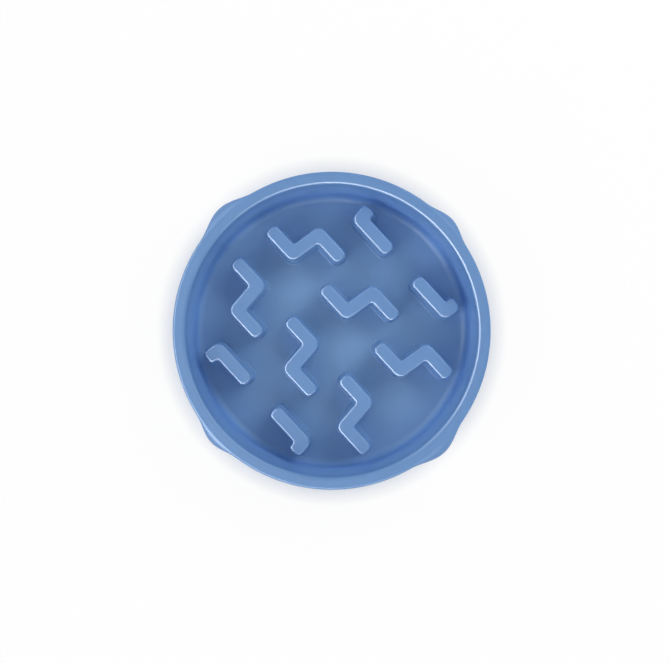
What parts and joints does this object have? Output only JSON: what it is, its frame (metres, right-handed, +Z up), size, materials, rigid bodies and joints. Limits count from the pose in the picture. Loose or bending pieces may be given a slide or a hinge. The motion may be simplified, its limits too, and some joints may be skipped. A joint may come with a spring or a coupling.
{
  "type": "slow feeder bowl",
  "caption": "Round double-walled slow feeder bowl: raised angular ridges stand on its floor, small ears swell out of its rim, and press-in rubber feet sit under its skirt.",
  "frame": {"origin": "middle of the round footprint, on the surface that the rubber feet rest on", "axes": "+Z up, out of the bowl's mouth; the ears and the feet lie on the diagonals between +X and +Y, and the two larger ears lie at back left (-X, +Y) and front right (+X, -Y)"},
  "size_m": [0.2122, 0.2122, 0.045],
  "materials": {
    "bowl_plastic": "satin moulded surface in a soft mid blue",
    "foot_rubber": "matt dark grey rubber"
  },
  "bodies": {
    "root": {"bowl": "bowl_plastic", "foot_front_left": "foot_rubber", "foot_front_right": "foot_rubber", "foot_back_left": "foot_rubber", "foot_back_right": "foot_rubber"}
  },
  "joints": []
}
